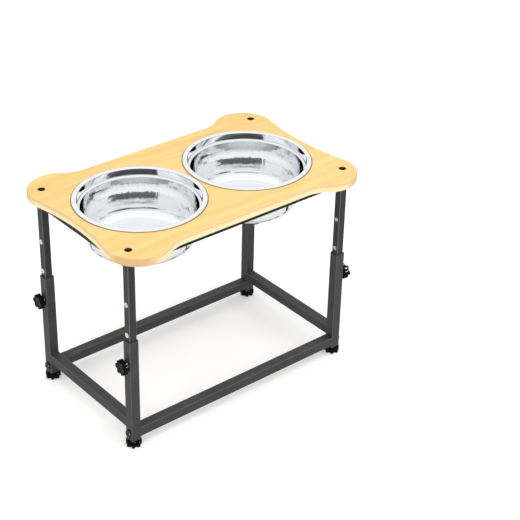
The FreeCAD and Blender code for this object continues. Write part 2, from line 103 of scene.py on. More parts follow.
class Value:
    """An output of a node, which can take part in sums."""

    def __init__(self, tree, socket):
        self.tree = tree
        self.socket = socket

    def __add__(self, other):
        return calc("ADD", self, other)

    def __sub__(self, other):
        return calc("SUBTRACT", self, other)

    def __mul__(self, other):
        return calc("MULTIPLY", self, other)

    def __truediv__(self, other):
        return calc("DIVIDE", self, other)

    def __rtruediv__(self, other):
        return calc("DIVIDE", other, self)

    def __abs__(self):
        return calc("ABSOLUTE", self)


def put(tree, kind, inputs=None, **options):
    """Add a node, set its options, and link or set its inputs."""
    node = tree.nodes.new(kind)
    for option, value in options.items():
        setattr(node, option, value)
    for socket, value in (inputs or {}).items():
        if isinstance(value, Value):
            tree.links.new(value.socket, node.inputs[socket])
        else:
            node.inputs[socket].default_value = value
    return node


def outputs_of(tree, node):
    """All outputs of a node, by name."""
    return {socket.name: Value(tree, socket) for socket in node.outputs}


def made(tree, kind, inputs=None, output=0, **options):
    """Add a node and return one of its outputs."""
    return Value(tree, put(tree, kind, inputs, **options).outputs[output])


def tree_of(values):
    """The tree of the first node output among some values."""
    return next(value.tree for value in values if isinstance(value, Value))


def calc(operation, *numbers):
    """Add one step of a sum and return its result."""
    return made(tree_of(numbers), "ShaderNodeMath", dict(enumerate(numbers)), operation=operation)


def vector_calc(operation, *vectors):
    """Add one step with vectors; a length or a dot product is a number."""
    output = "Value" if operation in ("LENGTH", "DOT_PRODUCT") else "Vector"
    return made(tree_of(vectors), "ShaderNodeVectorMath", dict(enumerate(vectors)), output, operation=operation)


def split(vector):
    """The three parts of a vector."""
    node = put(vector.tree, "ShaderNodeSeparateXYZ", {"Vector": vector})
    return list(outputs_of(vector.tree, node).values())


def joined(x=0.0, y=0.0, z=0.0):
    """A vector from its parts."""
    return made(tree_of((x, y, z)), "ShaderNodeCombineXYZ", {"X": x, "Y": y, "Z": z})


def largest_part(direction):
    """The largest part of a direction, which is one only where it lies along an axis."""
    x, y, z = (abs(part) for part in split(direction))
    return calc("MAXIMUM", calc("MAXIMUM", x, y), z)


# %% [markdown]
# ## Small helpers for pieces
# A Geometry Nodes tree starts with named inputs and ends in real mesh with a material. `grow` runs a tree once and
# keeps its result as a plain mesh, and `settle` turns a mesh into a finished piece of the feeder.

# %% Piece helpers


def geometry_tree(name, sizes):
    """Start a Geometry Nodes tree with named inputs, and return it with those inputs."""
    tree = bpy.data.node_groups.new(name, "GeometryNodeTree")
    tree.interface.new_socket("Geometry", in_out="INPUT", socket_type="NodeSocketGeometry")
    for label, (kind, value) in sizes.items():
        socket = tree.interface.new_socket(label, in_out="INPUT", socket_type=f"NodeSocket{kind}")
        if value is not None:
            socket.default_value = value
    tree.interface.new_socket("Geometry", in_out="OUTPUT", socket_type="NodeSocketGeometry")
    return tree, outputs_of(tree, tree.nodes.new("NodeGroupInput"))


def end_tree(tree, geometry, finish):
    """Close a tree: turn instances into real mesh, and give it its material."""
    real = made(tree, "GeometryNodeRealizeInstances", {"Geometry": geometry})
    painted = made(tree, "GeometryNodeSetMaterial", {"Geometry": real, "Material": finish})
    put(tree, "NodeGroupOutput", {"Geometry": painted})
    print("tree", tree.name, "has", len(tree.nodes), "nodes")
    return tree


def new_object(name, data):
    """Add an object to the scene."""
    thing = bpy.data.objects.new(name, data)
    bpy.context.scene.collection.objects.link(thing)
    return thing


def new_mesh(name, points, edges=(), faces=()):
    mesh = bpy.data.meshes.new(name)
    mesh.from_pydata(points, edges, faces)
    return mesh


def grow(tree, base, **inputs):
    """Run a tree on a base mesh and return the result as a plain mesh."""
    maker = new_object("maker", base)
    modifier = maker.modifiers.new("tree", "NODES")
    modifier.node_group = tree
    for item in tree.interface.items_tree:
        label = item.name.replace(" ", "_")
        if item.in_out == "INPUT" and label in inputs:
            modifier[item.identifier] = inputs[label]
    depsgraph = bpy.context.evaluated_depsgraph_get()
    mesh = bpy.data.meshes.new_from_object(maker.evaluated_get(depsgraph), depsgraph=depsgraph)
    bpy.data.objects.remove(maker)
    return mesh


def settle(name, mesh, body, nodes=(), place=Matrix()):
    """Make a mesh a finished piece: in its place, on its body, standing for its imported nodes."""
    mesh.transform(place)
    mesh.name = name
    piece = new_object(name, mesh)
    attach(piece, body)
    if nodes:
        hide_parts(*nodes)
    print(name, len(mesh.polygons), "faces")
    return piece


def at(x, y, z):
    return Matrix.Translation((x, y, z))


def outward(side):
    """The turn that points a piece's own upright axis out of the left or right side of the feeder."""
    return Matrix.Rotation(side * QUARTER_TURN, 4, "Y")


# %% [markdown]
# ## Effects that several finishes share
# Real surfaces are never one colour. Three effects are built once as shader groups: a fine speckle for paint and
# moulded plastic, the soft smudges that handling leaves, and a mask for rounded edges, where the paint is lighter
# from wear and from a painted highlight. The mask needs no painting: on a square tube only the rounded corners have a
# slanted normal.

# %% Shared shader groups


def shader_group(name, numbers, outputs):
    """Start a shader group with number inputs, and return it with those inputs."""
    group = bpy.data.node_groups.new(name, "ShaderNodeTree")
    for label, value in numbers.items():
        socket = group.interface.new_socket(label, in_out="INPUT", socket_type="NodeSocketFloat")
        socket.default_value = value
    for label in outputs:
        group.interface.new_socket(label, in_out="OUTPUT", socket_type="NodeSocketFloat")
    return group, outputs_of(group, group.nodes.new("NodeGroupInput"))


def own_place(tree):
    """Each point's place in the piece's own metres."""
    return made(tree, "ShaderNodeTexCoord", output="Object")


def noise(where, scale, detail=2.0, roughness=0.5, stretch=None):
    """Noise from nought to one at a place, squeezed or stretched along the axes."""
    if stretch:
        where = made(where.tree, "ShaderNodeMapping", {"Vector": where, "Scale": stretch})
    inputs = {"Vector": where, "Scale": scale, "Detail": detail, "Roughness": roughness}
    return made(where.tree, "ShaderNodeTexNoise", inputs, "Fac")


def ramp(value, low, high, to_low=0.0, to_high=1.0):
    """Stretch the range of a value to another range."""
    inputs = {"Value": value, "From Min": low, "From Max": high, "To Min": to_low, "To Max": to_high}
    return made(value.tree, "ShaderNodeMapRange", inputs, "Result")


def tone_ramp(value, tones):
    """A grey that follows a value through stops of position and tone."""
    node = put(value.tree, "ShaderNodeValToRGB", {"Fac": value})
    stops = node.color_ramp.elements
    stops.remove(stops[1])
    for index, (position, tone) in enumerate(tones.items()):
        stop = stops.new(position) if index else stops[0]
        stop.position = position
        stop.color = (tone, tone, tone, 1.0)
    return Value(value.tree, node.outputs["Color"])


def speckle_group():
    group, sizes = shader_group("fine_speckle", {"Grains per metre": 900.0}, ["Tone", "Height"])
    grain = noise(own_place(group), sizes["Grains per metre"], 2.0, 0.6)
    broad = noise(own_place(group), 26.0, 3.0)
    tone = grain * 0.55 + broad * 0.45
    put(group, "NodeGroupOutput", {"Tone": ramp(tone, 0.32, 0.68), "Height": grain})
    return group


def smudge_group():
    group, sizes = shader_group("handling_smudges", {"Patches per metre": 18.0}, ["Mask"])
    patch = noise(own_place(group), sizes["Patches per metre"], 4.0, 0.62)
    streak = noise(own_place(group), 60.0, stretch=(1, 1, 0.25))
    put(group, "NodeGroupOutput", {"Mask": ramp(patch, 0.42, 0.72) * ramp(streak, 0.3, 0.7)})
    return group


def edge_group():
    group, _ = shader_group("rounded_edges", {}, ["Mask"])
    normal = made(group, "ShaderNodeNewGeometry", output="Normal")
    put(group, "NodeGroupOutput", {"Mask": ramp(largest_part(normal), 0.985, 0.8)})
    return group


SPECKLE = speckle_group()
SMUDGES = smudge_group()
EDGE_WEAR_AND_HIGHLIGHT = edge_group()
print("shader groups:", [group.name for group in (SPECKLE, SMUDGES, EDGE_WEAR_AND_HIGHLIGHT)])

# %% [markdown]
# ## Finishes
# Each finish starts from the Principled shader. Colours that vary come from the groups above, roughness varies
# with the smudges, and a Bump node gives paint its slight orange peel and plastic its moulded grain. Under the
# paint, faint lines run along each tube.

# %% Start a finish


def start_finish(name, **sockets):
    """A material with only a Principled shader, and that shader's constant values."""
    material = bpy.data.materials.new(name)
    material.use_nodes = True
    tree = material.node_tree
    shader = tree.nodes["Principled BSDF"]
    for socket, value in sockets.items():
        shader.inputs[socket.replace("_", " ")].default_value = value
    return material, tree, shader


def feed(shader, **values):
    """Link values that vary to a shader's inputs."""
    for socket, value in values.items():
        value.tree.links.new(value.socket, shader.inputs[socket.replace("_", " ")])


def mix_colours(mask, first, second):
    """Mix two colours, each of them constant or made by nodes."""
    first, second = (colour if isinstance(colour, Value) else (*colour, 1.0) for colour in (first, second))
    return made(mask.tree, "ShaderNodeMix", {0: mask, 6: first, 7: second}, 2, data_type="RGBA")


def use_group(tree, group, **numbers):
    node = put(tree, "ShaderNodeGroup", node_tree=group)
    for socket, value in numbers.items():
        node.inputs[socket.replace("_", " ")].default_value = value
    return outputs_of(tree, node)


def bump(shader, height, distance, strength):
    inputs = {"Height": height, "Distance": distance, "Strength": strength}
    feed(shader, Normal=made(height.tree, "ShaderNodeBump", inputs))


# %% Painted, moulded and plated finishes


def grey(tone):
    """A neutral colour with the faint blue of black pigment."""
    return tone, tone, tone * 1.02


def powder_coat(name, dark, light, edge):
    material, tree, shader = start_finish(name, Specular_IOR_Level=0.22)
    speckle = use_group(tree, SPECKLE, Grains_per_metre=420.0)
    drawn = made(tree, "ShaderNodeAttribute", output="Vector", attribute_name="drawn")
    lines = noise(drawn, 240.0, 3.0, stretch=(1, 1, 0.02))
    tone = speckle["Tone"] * 0.5 + ramp(lines, 0.38, 0.62, 0.0, 0.5)
    paint = mix_colours(tone, grey(dark), grey(light))
    # rounded edges are made lighter: partly wear, partly a painted highlight
    edge_wear_and_highlight = use_group(tree, EDGE_WEAR_AND_HIGHLIGHT)["Mask"] * 0.8
    smudge = use_group(tree, SMUDGES)["Mask"]
    feed(shader, Base_Color=mix_colours(edge_wear_and_highlight, paint, grey(edge)),
         Roughness=ramp(smudge, 0.0, 1.0, 0.40, 0.52))
    bump(shader, speckle["Height"], 0.12 * MM, 0.5)
    return material


def speckled(name, dark, light, grains, patches, roughness, relief, **sockets):
    """A finish of two speckled colours; roughness is a range, and relief is a bump's depth and strength."""
    material, tree, shader = start_finish(name, **sockets)
    speckle = use_group(tree, SPECKLE, Grains_per_metre=grains)
    smudge = use_group(tree, SMUDGES, Patches_per_metre=patches)["Mask"]
    feed(shader, Base_Color=mix_colours(speckle["Tone"], dark, light),
         Roughness=ramp(smudge, 0.0, 1.0, *roughness))
    bump(shader, speckle["Height"], *relief)
    return material


def moulded_plastic(name, dark, light, gloss):
    return speckled(name, grey(dark), grey(light), 2400.0, 90.0, (gloss, gloss + 0.16), (0.05 * MM, 0.35),
                    Specular_IOR_Level=0.07)


def plated_metal(name, dark, light, gloss, metallic=1.0):
    return speckled(name, dark, light, 3000.0, 240.0, (gloss, gloss + 0.14), (0.02 * MM, 0.3), Metallic=metallic)


PAINT = powder_coat("charcoal_powder_coat", 0.016, 0.066, 0.12)
# darker copies of the coat for the upper frame: partly their own colour, partly painted shade under the board
SHADE_PAINT = powder_coat("dark_powder_coat", 0.012, 0.044, 0.16)
BLACK_COAT_AND_SHADE = powder_coat("black_powder_coat", 0.003, 0.007, 0.02)
KNOB_PLASTIC = moulded_plastic("black_moulding", 0.002, 0.005, 0.12)
SCREW_LACQUER = moulded_plastic("black_lacquer", 0.004, 0.009, 0.24)
GUIDE_PLASTIC = moulded_plastic("guide_moulding", 0.012, 0.024, 0.5)
BLACK_STEEL = plated_metal("black_nickel", grey(0.04), grey(0.07), 0.10)
ZINC_STEEL = plated_metal("zinc_plated_steel", (0.42, 0.43, 0.45), (0.62, 0.63, 0.65), 0.28)
YELLOW_ZINC = plated_metal("yellow_zinc_plating", (0.90, 0.84, 0.60), (0.98, 0.96, 0.82), 0.2, 0.4)
print("finishes:", sorted(material.name for material in bpy.data.materials if material.users == 0))

# %% [markdown]
# ## Clear-coated wood
# The board is light wood with straight grain along its long side. Four scales make wood believable: broad bands
# of early and late growth, narrow streaks, fine fibres, and short dark pores. All are noise squeezed across the
# grain and stretched along it. The cut edge shows the layers that the board is glued from, so the mesh carries an
# attribute, `edge`, that is one on the rim and nought on the faces, and the layers follow the height. Another
# attribute darkens the screw holes, where the cutter burnt the wood, and adds painted shade in those recesses. A
# thin painted shadow line marks where each rim sits.

# %% Wood finish
WOOD_PALE = (0.888, 0.64, 0.242)
WOOD_HONEY = (0.82, 0.54, 0.175)
WOOD_LATE = (0.52, 0.27, 0.075)
EDGE_PALE = (0.94, 0.78, 0.44)
EDGE_BROWN = (0.58, 0.33, 0.11)
BORE_BURN_AND_SHADE = (0.035, 0.022, 0.012)
RIM_SHADOW_TONE = (0.07, 0.05, 0.03)
LAYER_TONES = {0.0: 0.05, 0.40: 0.08, 0.58: 0.22, 0.74: 0.55, 0.90: 0.55, 1.0: 0.30}
WOOD_SCALES = {
    "bands": (52.0, 4.0, (0.045, 1.0, 0.35), 0.34, 0.66),
    "streaks": (170.0, 3.0, (0.022, 1.0, 0.6), 0.42, 0.70),
    "fibres": (460.0, 3.0, (0.028, 1.0, 1.0), 0.30, 0.70),
    "pores": (900.0, 1.0, (0.035, 1.0, 1.0), 0.66, 0.76),
}


def wood_figure(tree):
    """Growth bands, streaks, fibres and pores along the board's long side, each from nought to one."""
    where = own_place(tree)
    drift = made(tree, "ShaderNodeTexNoise", {"Vector": where, "Scale": 3.2, "Detail": 2.0}, "Color")
    drift = vector_calc("SUBTRACT", drift, (0.5, 0.5, 0.5))
    drift = made(tree, "ShaderNodeVectorMath", {0: drift, "Scale": 0.055}, operation="SCALE")
    bent = vector_calc("ADD", where, drift)
    return {name: ramp(noise(bent, scale, detail, 0.55, stretch), low, high)
            for name, (scale, detail, stretch, low, high) in WOOD_SCALES.items()}


def layered_edge(tree):
    """The board's glued layers, by height, as a tone from nought to one; the edge is darker on the lobes."""
    wander = ramp(noise(own_place(tree), 14.0, 2.0, 0.55), 0.3, 0.7, -0.035, 0.035)
    x, y, z = split(own_place(tree))
    layer = tone_ramp(ramp(z, BOARD_BASE, BOARD_TOP) + wander, LAYER_TONES)
    return calc("MAXIMUM", layer, ramp(abs(x) + abs(y), 0.395, 0.42, 0.0, 0.75))


def painted_rim_shadow(tree):
    """A thin painted shadow on the wood where the edge of each bowl's rim sits."""
    x, y, _ = split(own_place(tree))
    bowl_x = middle_of("bowl_right").x
    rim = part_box("bowl_right")[1].x - bowl_x
    distance = vector_calc("LENGTH", joined(abs(x) - bowl_x, y))
    return ramp(abs(distance - rim), 2.0 * MM, 0.8 * MM)


def clear_coated_wood():
    material, tree, shader = start_finish("clear_coated_wood", Specular_IOR_Level=0.4, Coat_Roughness=0.22)
    figure = wood_figure(tree)
    face = mix_colours(figure["bands"], WOOD_PALE, WOOD_HONEY)
    for name, share in {"streaks": 0.22, "fibres": 0.14, "pores": 0.30}.items():
        face = mix_colours(figure[name] * share, face, WOOD_LATE)
    layers = mix_colours(layered_edge(tree), EDGE_PALE, EDGE_BROWN)
    layers = mix_colours(figure["fibres"] * 0.16, layers, WOOD_LATE)
    edge, bore = (made(tree, "ShaderNodeAttribute", output="Fac", attribute_name=name) for name in ("edge", "bore"))
    outside = mix_colours(edge, face, layers)
    # painted shadow: a thin dark line on the wood under the edge of each bowl's rim
    outside = mix_colours(painted_rim_shadow(tree) * 0.85, outside, RIM_SHADOW_TONE)
    smudge = use_group(tree, SMUDGES, Patches_per_metre=9.0)["Mask"]
    # the screw holes are darkened as burnt wood and with painted shade in the recess
    feed(shader, Base_Color=mix_colours(bore, outside, BORE_BURN_AND_SHADE),
         Roughness=ramp(smudge, 0.0, 1.0, 0.42, 0.54), Coat_Weight=ramp(smudge, 0.0, 1.0, 0.22, 0.14))
    bump(shader, figure["fibres"] * 0.4 - figure["pores"], 0.06 * MM, 0.45)
    return material


WOOD = clear_coated_wood()
print("wood:", len(WOOD.node_tree.nodes), "nodes")

# %% [markdown]
# ## Polished steel
# A bowl is pressed from sheet and polished while it spins, so its fine lines run round the axis. Each bowl has its
# own axis, and the lines follow the distance from it and the height, so the finish is made once per bowl with that
# axis subtracted by a Mapping node. Drawing the sheet into the die also leaves faint ribs that run down the wall
# and fan out across the base. Noise on the direction from the axis makes them, and they break up the reflections.

# %% Steel finish
STEEL_DARK = (0.80, 0.815, 0.84)
STEEL_LIGHT = (0.93, 0.94, 0.95)
RIBS_START = BOARD_TOP - 13 * MM
RIBS_FULL = BOARD_TOP - 24 * MM


def polished_steel(name, axis_x):
    material, tree, shader = start_finish(name, Metallic=1.0)
    where = made(tree, "ShaderNodeMapping", {"Vector": own_place(tree), "Location": (-axis_x, 0, 0)})
    x, y, z = split(where)
    flat = joined(x, y)
    lines = noise(joined(x=vector_calc("LENGTH", flat), z=z), 2600.0)
    towards = vector_calc("NORMALIZE", flat)
    ribs = noise(vector_calc("ADD", towards, joined(z=z * 1.5)), 16.0)
    smudge = use_group(tree, SMUDGES, Patches_per_metre=30.0)["Mask"]
    feed(shader, Base_Color=mix_colours(ramp(lines, 0.3, 0.7) * 0.6, STEEL_LIGHT, STEEL_DARK),
         Roughness=ramp(smudge, 0.0, 1.0, 0.03, 0.10))
    drawn = ribs * ramp(z, RIBS_START, RIBS_FULL, 0.1)
    bump(shader, lines * 0.003 + drawn, 0.5 * MM, 0.5)
    return material


STEEL = {side: polished_steel(f"polished_steel_{side}", middle_of(f"bowl_{side}").x) for side in SIDES}
print("steel:", [material.name for material in STEEL.values()])

# %% [markdown]
# ## Pieces turned on a lathe
# Bowls, bolts, screws, sleeves and studs are all round, so one Geometry Nodes tree turns them all. It takes half a
# section as a line of points, wraps a grid round the axis, and reads each row of the grid from the next point of
# the line. Two attributes on the points bend the rule: `thread` cuts a screw thread into a row, and `hexagon`
# makes a row six-sided, for the socket that a key fits.

# %% The lathe tree
SEAM_GAP = 0.002 * MM


def sampled(geometry, row, field, kind="FLOAT"):
    """Read a value of one point of a line."""
    inputs = {"Geometry": geometry, "Value": field, "Index": row}
    return made(geometry.tree, "GeometryNodeSampleIndex", inputs, "Value", data_type=kind, domain="POINT")


def attribute(tree, name, kind="FLOAT"):
    return made(tree, "GeometryNodeInputNamedAttribute", {"Name": name}, "Attribute", data_type=kind)


def wrapped_grid(outline, segments):
    """A grid with one row for each point of a line; returns it with each vertex's turn, row and point."""
    tree = outline.tree
    count = made(tree, "GeometryNodeAttributeDomainSize", {"Geometry": outline}, "Point Count")
    sizes = {"Size X": 1.0, "Size Y": 1.0, "Vertices X": segments + 1, "Vertices Y": count}
    grid = made(tree, "GeometryNodeMeshGrid", sizes, "Mesh")
    place = made(tree, "GeometryNodeInputPosition")
    around, along, _ = split(place)
    turn = (around + 0.5) * FULL_TURN
    row = calc("ROUND", (along + 0.5) * (count - 1))
    return grid, turn, row, split(sampled(outline, row, place, "FLOAT_VECTOR"))


def closed(grid, x, y, z):
    """Move each vertex of a grid to its place, and close the seam and the poles."""
    bent = made(grid.tree, "GeometryNodeSetPosition", {"Geometry": grid, "Position": joined(x, y, z)})
    return made(grid.tree, "GeometryNodeMergeByDistance", {"Geometry": bent, "Distance": SEAM_GAP})


def shade(geometry, smooth, domain="FACE", **chosen):
    inputs = {0: geometry, "Shade Smooth": smooth, **chosen}
    return made(geometry.tree, "GeometryNodeSetShadeSmooth", inputs, domain=domain)


def smoothed(geometry, angle=math.radians(32)):
    """Smooth shading, with edges over an angle kept sharp."""
    bend = made(geometry.tree, "GeometryNodeInputMeshEdgeAngle", output="Unsigned Angle")
    sharp = made(geometry.tree, "FunctionNodeCompare", {0: bend, 1: angle}, operation="GREATER_THAN")
    return shade(shade(geometry, True), False, "EDGE", Selection=sharp)


def turned(grid, radius, turn, height):
    """Bend a grid round the axis, and smooth all but its sharp edges."""
    x, y = (radius * calc(way, turn) for way in ("COSINE", "SINE"))
    return smoothed(closed(grid, x, y, height))


def lathe_tree():
    tree, given = geometry_tree("turned_on_a_lathe", {
        "Segments": ("Int", 96), "Thread pitch": ("Float", 1.0 * MM), "Thread depth": ("Float", 0.3 * MM),
        "Finish": ("Material", None)})
    outline = given["Geometry"]
    grid, turn, row, (reach, _, height) = wrapped_grid(outline, given["Segments"])
    from_corner = calc("WRAP", turn, 0.0, FULL_TURN / 6)
    slant = calc("COSINE", from_corner - FULL_TURN / 12)
    six_sided = math.cos(FULL_TURN / 12) / slant - 1.0
    radius = reach * (six_sided * sampled(outline, row, attribute(tree, "hexagon")) + 1.0)
    phase = height / given["Thread pitch"] - turn / FULL_TURN
    groove = calc("PINGPONG", phase * 2.0, 1.0) * given["Thread depth"]
    cut = groove * sampled(outline, row, attribute(tree, "thread"))
    return end_tree(tree, turned(grid, radius - cut, turn, height), given["Finish"])


LATHE = lathe_tree()

# %% Sections for the lathe


def softened(corners, steps=6):
    """Points of a section in millimetres whose corners (radius, height, rounding) are rounded off."""
    points = []
    for index, (x, z, rounding) in enumerate(corners):
        here = Vector((x, z))
        if rounding == 0 or index in (0, len(corners) - 1):
            points.append(here)
            continue
        before = (Vector(corners[index - 1][:2]) - here).normalized()
        after = (Vector(corners[index + 1][:2]) - here).normalized()
        half = before.angle(after) / 2
        reach = rounding / math.tan(half)
        centre = here + (before + after).normalized() * (rounding / math.sin(half))
        first = here + before * reach - centre
        swing = first.angle_signed(here + after * reach - centre)
        for step in range(steps + 1):
            points.append(centre + Matrix.Rotation(-swing * step / steps, 2) @ first)
    return points


def subdivided(points, longest, margin=0.3):
    """Points with extra ones along each long straight; those near its ends keep its shading flat."""
    result = [points[0]]
    for start, end in zip(points, points[1:]):
        length = (end - start).length
        pieces = max(1, math.ceil(length / longest))
        shares = [step / pieces for step in range(1, pieces + 1)]
        if length > 4 * margin:
            shares += [margin / length, 1 - margin / length]
        result += [start.lerp(end, share) for share in sorted(shares)]
    return result


def section(points, **weights):
    """A line of points for a tree, in metres; each weight is a list with one value per point."""
    mesh = new_mesh("section", [(x * MM, 0, z * MM) for x, z in points])
    for name, values in weights.items():
        mesh.attributes.new(name, "FLOAT", "POINT").data.foreach_set("value", values)
    return mesh


print("a softened square corner has", len(softened([(0, 0, 0), (5, 0, 2), (5, 5, 0)])), "points")

# %% [markdown]
# ## Bowls
# Each bowl hangs by its flat rim. Under the rim an upright band fits the board's hole, the wall tapers to a rounded
# base, and a shallow raised panel stiffens the bottom. The section goes once round the sheet, outside first, so the
# faces point outwards on both sides of the metal.

# %% Bowls
BOWL_SECTION = [
    (0, -90.4, 0), (65.6, -90.4, 2), (67.6, -92, 2), (99.8, -92, 20.8), (110.3, -14.3, 1.6), (115.8, -14.3, 0.9),
    (115.8, 1.4, 0.4), (124.2, 1.4, 0.5), (124.2, 0, 0.2), (125, 0, 0.3), (125, 2.2, 1.5), (115, 2.2, 1.2),
    (115, -13.5, 1.8), (109.5, -13.5, 0.9), (99, -91.2, 20), (67.6, -91.2, 2), (65.6, -89.6, 2), (0, -89.6, 0),
]
LONGEST_STEP = 9.0

for side in SIDES:
    outline = section(subdivided(softened(BOWL_SECTION, 8), LONGEST_STEP))
    settle(f"steel_bowl_{side}", grow(LATHE, outline, Segments=224, Finish=STEEL[side]), f"bowl_{side}",
           [f"bowl_{side}"], at(middle_of(f"bowl_{side}").x, 0, BOARD_TOP))

# %% [markdown]
# ## The bone-shaped board
# The outline is four lobes joined by straight long sides and shallow curved ends, all arcs and lines. It is drawn
# as a ring of points with their outward directions, and the rounded rim is that ring again and again, each time
# further in or out and higher up. Top and bottom are then filled around the holes.

# %% Board outline
LOBE_X, LOBE_Y, LOBE_ROUND = 220.0, 124.0, 60.5
WAIST_Y, WAIST_ROUND, END_ROUND = 159.5, 68.0, 507.0
END_STEPS, LOBE_STEPS, WAIST_STEPS, STRAIGHT_STEPS = 22, 64, 28, 12


def arc(centre, radius, start, end, steps, sign):
    """Points on an arc with their outward directions; a hollow arc has its outside at its centre."""
    points = []
    for step in range(steps):
        angle = start + (end - start) * step / steps
        way = Vector((math.cos(angle), math.sin(angle)))
        points.append((Vector(centre) + way * radius, way * sign))
    return points


def bone_quarter():
    inward_y = WAIST_Y + WAIST_ROUND
    inward_x = LOBE_X - math.sqrt((LOBE_ROUND + WAIST_ROUND) ** 2 - (inward_y - LOBE_Y) ** 2)
    end_x = LOBE_X + math.sqrt((LOBE_ROUND + END_ROUND) ** 2 - LOBE_Y ** 2)
    to_inward = math.atan2(inward_y - LOBE_Y, inward_x - LOBE_X)
    to_end = math.atan2(-LOBE_Y, end_x - LOBE_X)
    quarter = arc((end_x, 0), END_ROUND, math.pi, math.pi + to_end, END_STEPS, -1)
    quarter += arc((LOBE_X, LOBE_Y), LOBE_ROUND, to_end, to_inward, LOBE_STEPS, 1)
    quarter += arc((inward_x, inward_y), WAIST_ROUND, to_inward - math.pi, -QUARTER_TURN, WAIST_STEPS, -1)
    for step in range(STRAIGHT_STEPS):
        quarter.append((Vector((inward_x * (1 - step / STRAIGHT_STEPS), WAIST_Y)), Vector((0, 1))))
    return quarter


def bone_outline():
    """The whole outline, anticlockwise, from a quarter and its mirror images."""
    quarter = bone_quarter()

    def flipped(points, sx, sy):
        turn = Vector((sx, sy))
        return [(spot * turn, way * turn) for spot, way in points]

    half = quarter + [(Vector((0, WAIST_Y)), Vector((0, 1)))] + flipped(quarter[:0:-1], -1, 1)
    return half + flipped(quarter[:1], -1, 1) + flipped(half[:0:-1], 1, -1)


OUTLINE = bone_outline()
print("outline:", len(OUTLINE), "points")

# %% Board mesh
RIM_ROUND = 3.0
RIM_STEPS = 7
HOLE_CHAMFER = 0.8
BOWL_HOLE = 116.8
SCREW_SINK = 7.0
SCREW_SINK_DEPTH = 4.0
SINK_CHAMFER = 0.5
SCREW_HOLE = 3.3
THICK = (BOARD_TOP - BOARD_BASE) / MM


def quarter_round(radius, steps):
    """How far in and how far up each step of a rounded edge is, with the angle it has reached."""
    angles = [QUARTER_TURN * step / steps for step in range(steps + 1)]
    return [(radius * (1 - math.sin(angle)), radius * (1 - math.cos(angle)), angle) for angle in angles]


def rim_levels():
    """Distance in from the outline, height, and how much each level belongs to the cut edge."""
    levels = [(inset, rise, math.sin(angle)) for inset, rise, angle in quarter_round(RIM_ROUND, RIM_STEPS)]
    return levels + [(inset, THICK - height, edge) for inset, height, edge in levels[::-1]]


def add_ring(bm, points, height, name, weight):
    """A ring of vertices at a height, with a value for the named attribute."""
    ring = [bm.verts.new((point.x * MM, point.y * MM, BOARD_BASE + height * MM)) for point in points]
    layer = bm.verts.layers.float[name]
    for vertex in ring:
        vertex[layer] = weight
    return ring


def join_rings(bm, rings, outside):
    """Close the gaps between rings with four-sided faces that point out of the wood."""
    for lower, upper in zip(rings, rings[1:]):
        for index, vertex in enumerate(lower):
            after = (index + 1) % len(lower)
            corners = [vertex, lower[after], upper[after], upper[index]]
            bm.faces.new(corners if outside else corners[::-1]).smooth = True


def hole_rings(bm, x, y, steps, levels, mark):
    """The wall of a hole; its first and last ring belong to the faces, so they are not marked."""
    angles = [FULL_TURN * step / steps for step in range(steps)]
    rings = []
    for index, (radius, height) in enumerate(levels):
        points = [Vector((x, y)) + Vector((math.cos(angle), math.sin(angle))) * radius for angle in angles]
        rings.append(add_ring(bm, points, height, mark, float(0 < index < len(levels) - 1)))
    join_rings(bm, rings, False)
    return rings


def fill_face(bm, rings, up):
    """Fill the flat face between a set of rings, with its normal up or down."""
    edges = []
    for ring in rings:
        pairs = zip(ring, ring[1:] + ring[:1])
        edges += [bm.edges.get(pair) or bm.edges.new(pair) for pair in pairs]
    filled = bmesh.ops.triangle_fill(bm, use_beauty=True, use_dissolve=False, edges=edges)
    for face in (item for item in filled["geom"] if isinstance(item, bmesh.types.BMFace)):
        face.normal_update()
        if face.normal.z * up < 0:
            face.normal_flip()
    for edge in edges:
        edge.smooth = False


def board_mesh():
    bm = bmesh.new()
    for name in ("edge", "bore"):
        bm.verts.layers.float.new(name)
    rim = [add_ring(bm, [spot - way * inset for spot, way in OUTLINE], height, "edge", edge)
           for inset, height, edge in rim_levels()]
    join_rings(bm, rim, True)
    through = [(BOWL_HOLE + HOLE_CHAMFER, 0), (BOWL_HOLE, HOLE_CHAMFER), (BOWL_HOLE, THICK - HOLE_CHAMFER),
               (BOWL_HOLE + HOLE_CHAMFER, THICK)]
    floor = THICK - SCREW_SINK_DEPTH
    sunk = [(SCREW_HOLE, 0), (SCREW_HOLE, floor), (SCREW_SINK, floor), (SCREW_SINK, THICK - SINK_CHAMFER),
            (SCREW_SINK + SINK_CHAMFER, THICK)]
    spots = [(middle_of(f"bowl_{side}").x / MM, 0.0, 160, through, "edge") for side in SIDES]
    spots += [(sx * LEG_X / MM, sy * LEG_Y / MM, 48, sunk, "bore") for sx, sy in CORNERS.values()]
    walls = [rim] + [hole_rings(bm, *spot) for spot in spots]
    fill_face(bm, [rings[0] for rings in walls], -1)
    fill_face(bm, [rings[-1] for rings in walls], 1)
    mesh = bpy.data.meshes.new("bone_board")
    bm.to_mesh(mesh)
    bm.free()
    mesh.materials.append(WOOD)
    return mesh


settle("bone_board", board_mesh(), "upper_frame", ["top_board"])

# %% [markdown]
# ## Square tube
# The frame is cut from square steel tube, so one tree makes every length of it. It wraps a grid as the lathe does,
# but round a square with rounded corners: each corner is a quarter of a circle, and the flat faces are the steps
# from one corner to the next. A line of points gives the wall: how far in from the face, and how high. Holes are
# drilled with a Boolean, at the points of another mesh. The attribute `drawn` keeps each point's place on the
# upright tube, so that the faint lines that drawing leaves in the steel follow the tube however it is turned.

# %% The tube tree
CORNER_STEPS = 6
NEARLY_ONE = 0.9995


